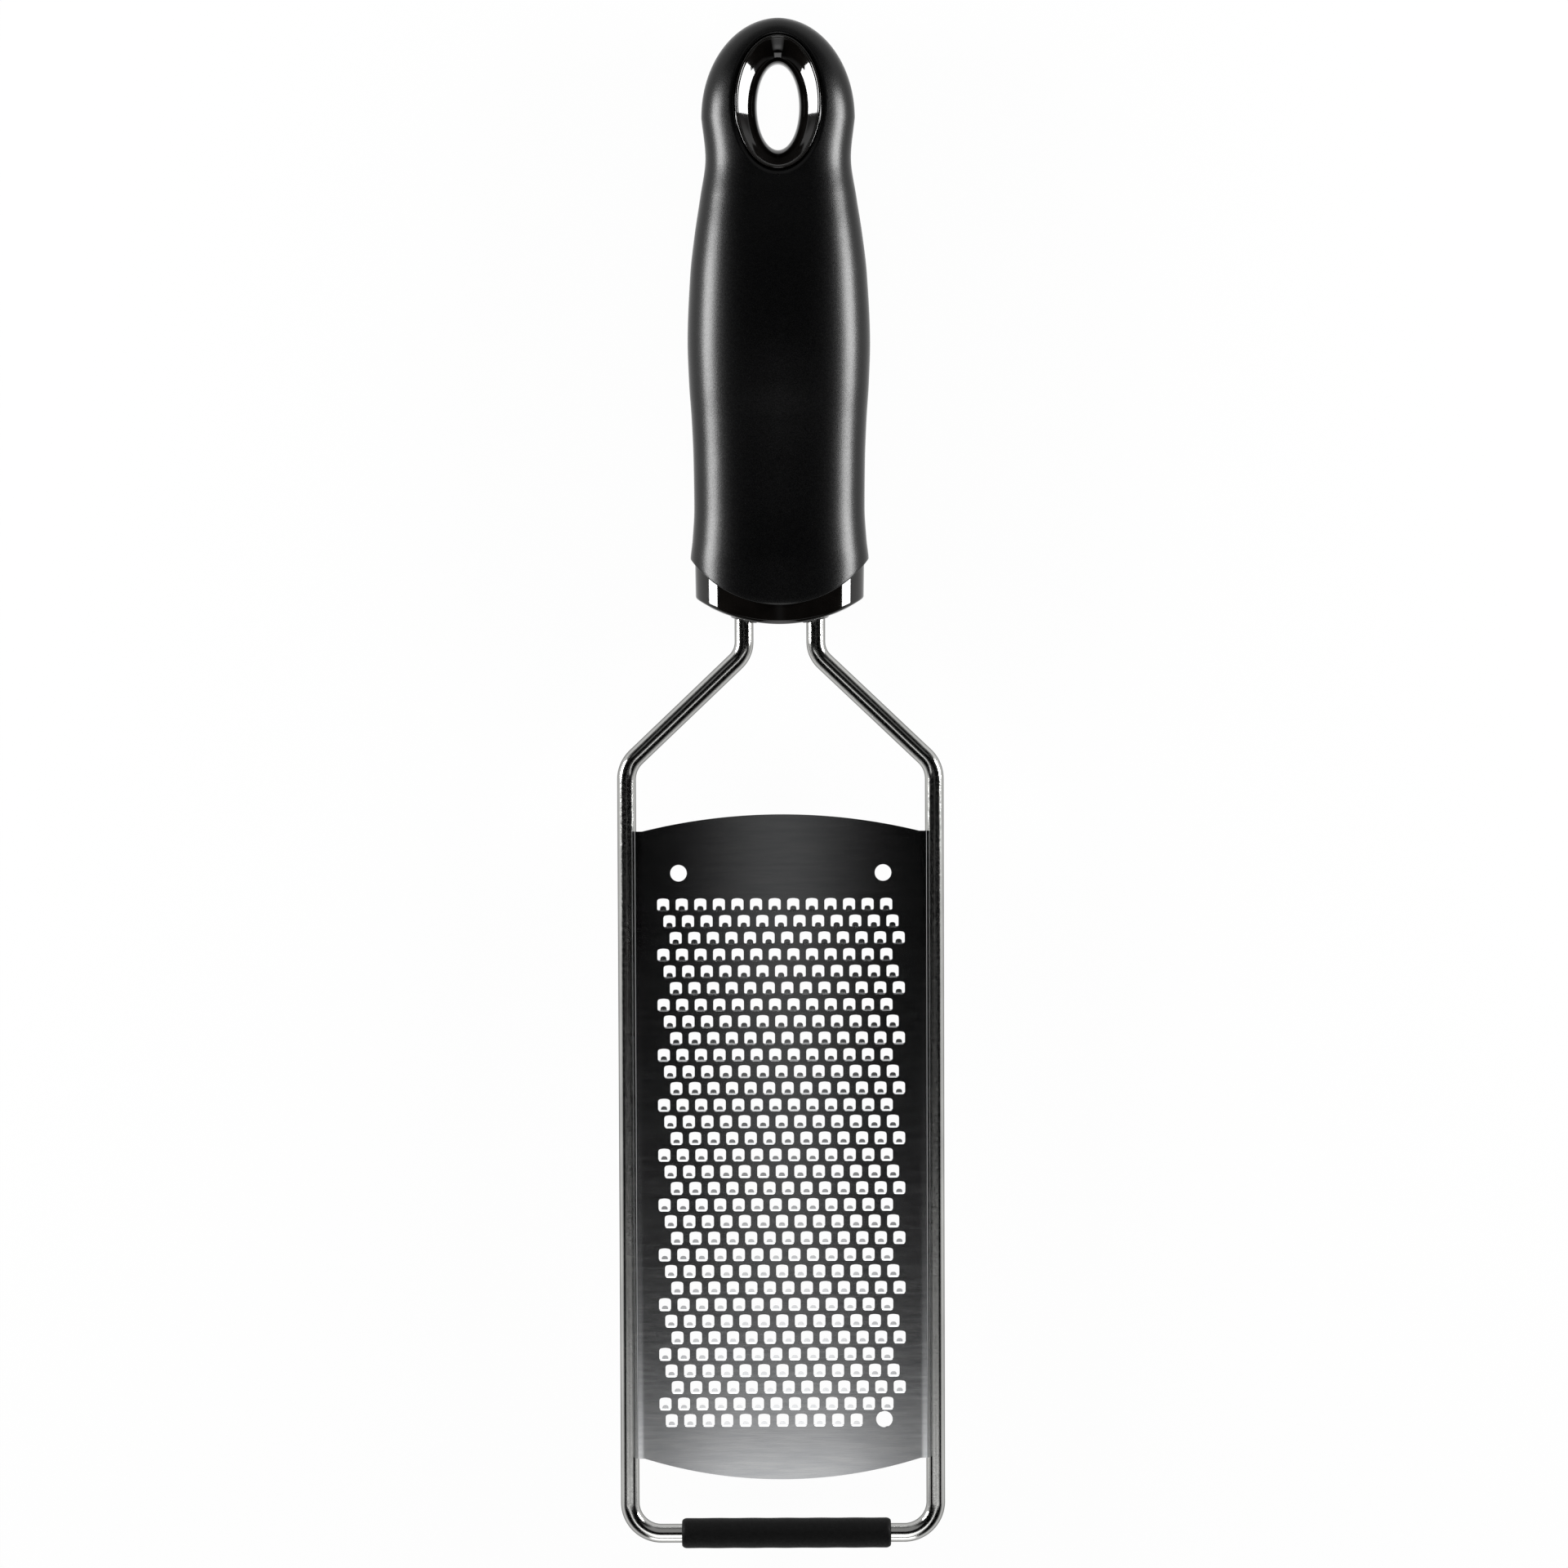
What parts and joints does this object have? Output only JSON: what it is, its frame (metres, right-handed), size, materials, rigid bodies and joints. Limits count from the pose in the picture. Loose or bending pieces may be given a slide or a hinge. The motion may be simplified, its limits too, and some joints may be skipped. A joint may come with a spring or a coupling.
{
  "type": "rasp zester",
  "caption": "Flat rasp zester: a toothed steel sheet on a bent wire frame, with a rounded soft-grip handle, a glossy collar, a ringed hang hole and a rubber end foot.",
  "frame": {"origin": "middle of the footprint, level with the underside of the grip; the tool lies flat with its teeth up", "axes": "+X across the blade, +Y along the tool towards the hang hole, +Z out of the toothed face"},
  "size_m": [0.066, 0.31, 0.023],
  "materials": {
    "soft_grip": "soft-touch black, fine satin speckle",
    "core_plastic": "plain moulded black, hidden",
    "gloss_black": "mirror-gloss black",
    "polished_rod": "polished stainless rod with fine drawn marks",
    "blade_steel": "rolled stainless sheet with a fine grain across the blade",
    "weld_steel": "bare weld metal",
    "foot_rubber": "matte black"
  },
  "bodies": {
    "root": {"grip_sleeve": "soft_grip", "core_front": "core_plastic", "core_rear": "core_plastic", "collar": "gloss_black", "hang_ring_front": "gloss_black", "hang_ring_rear": "gloss_black", "frame_rod": "polished_rod", "blade": "blade_steel", "blade_welds": "weld_steel", "end_foot": "foot_rubber"}
  },
  "joints": []
}
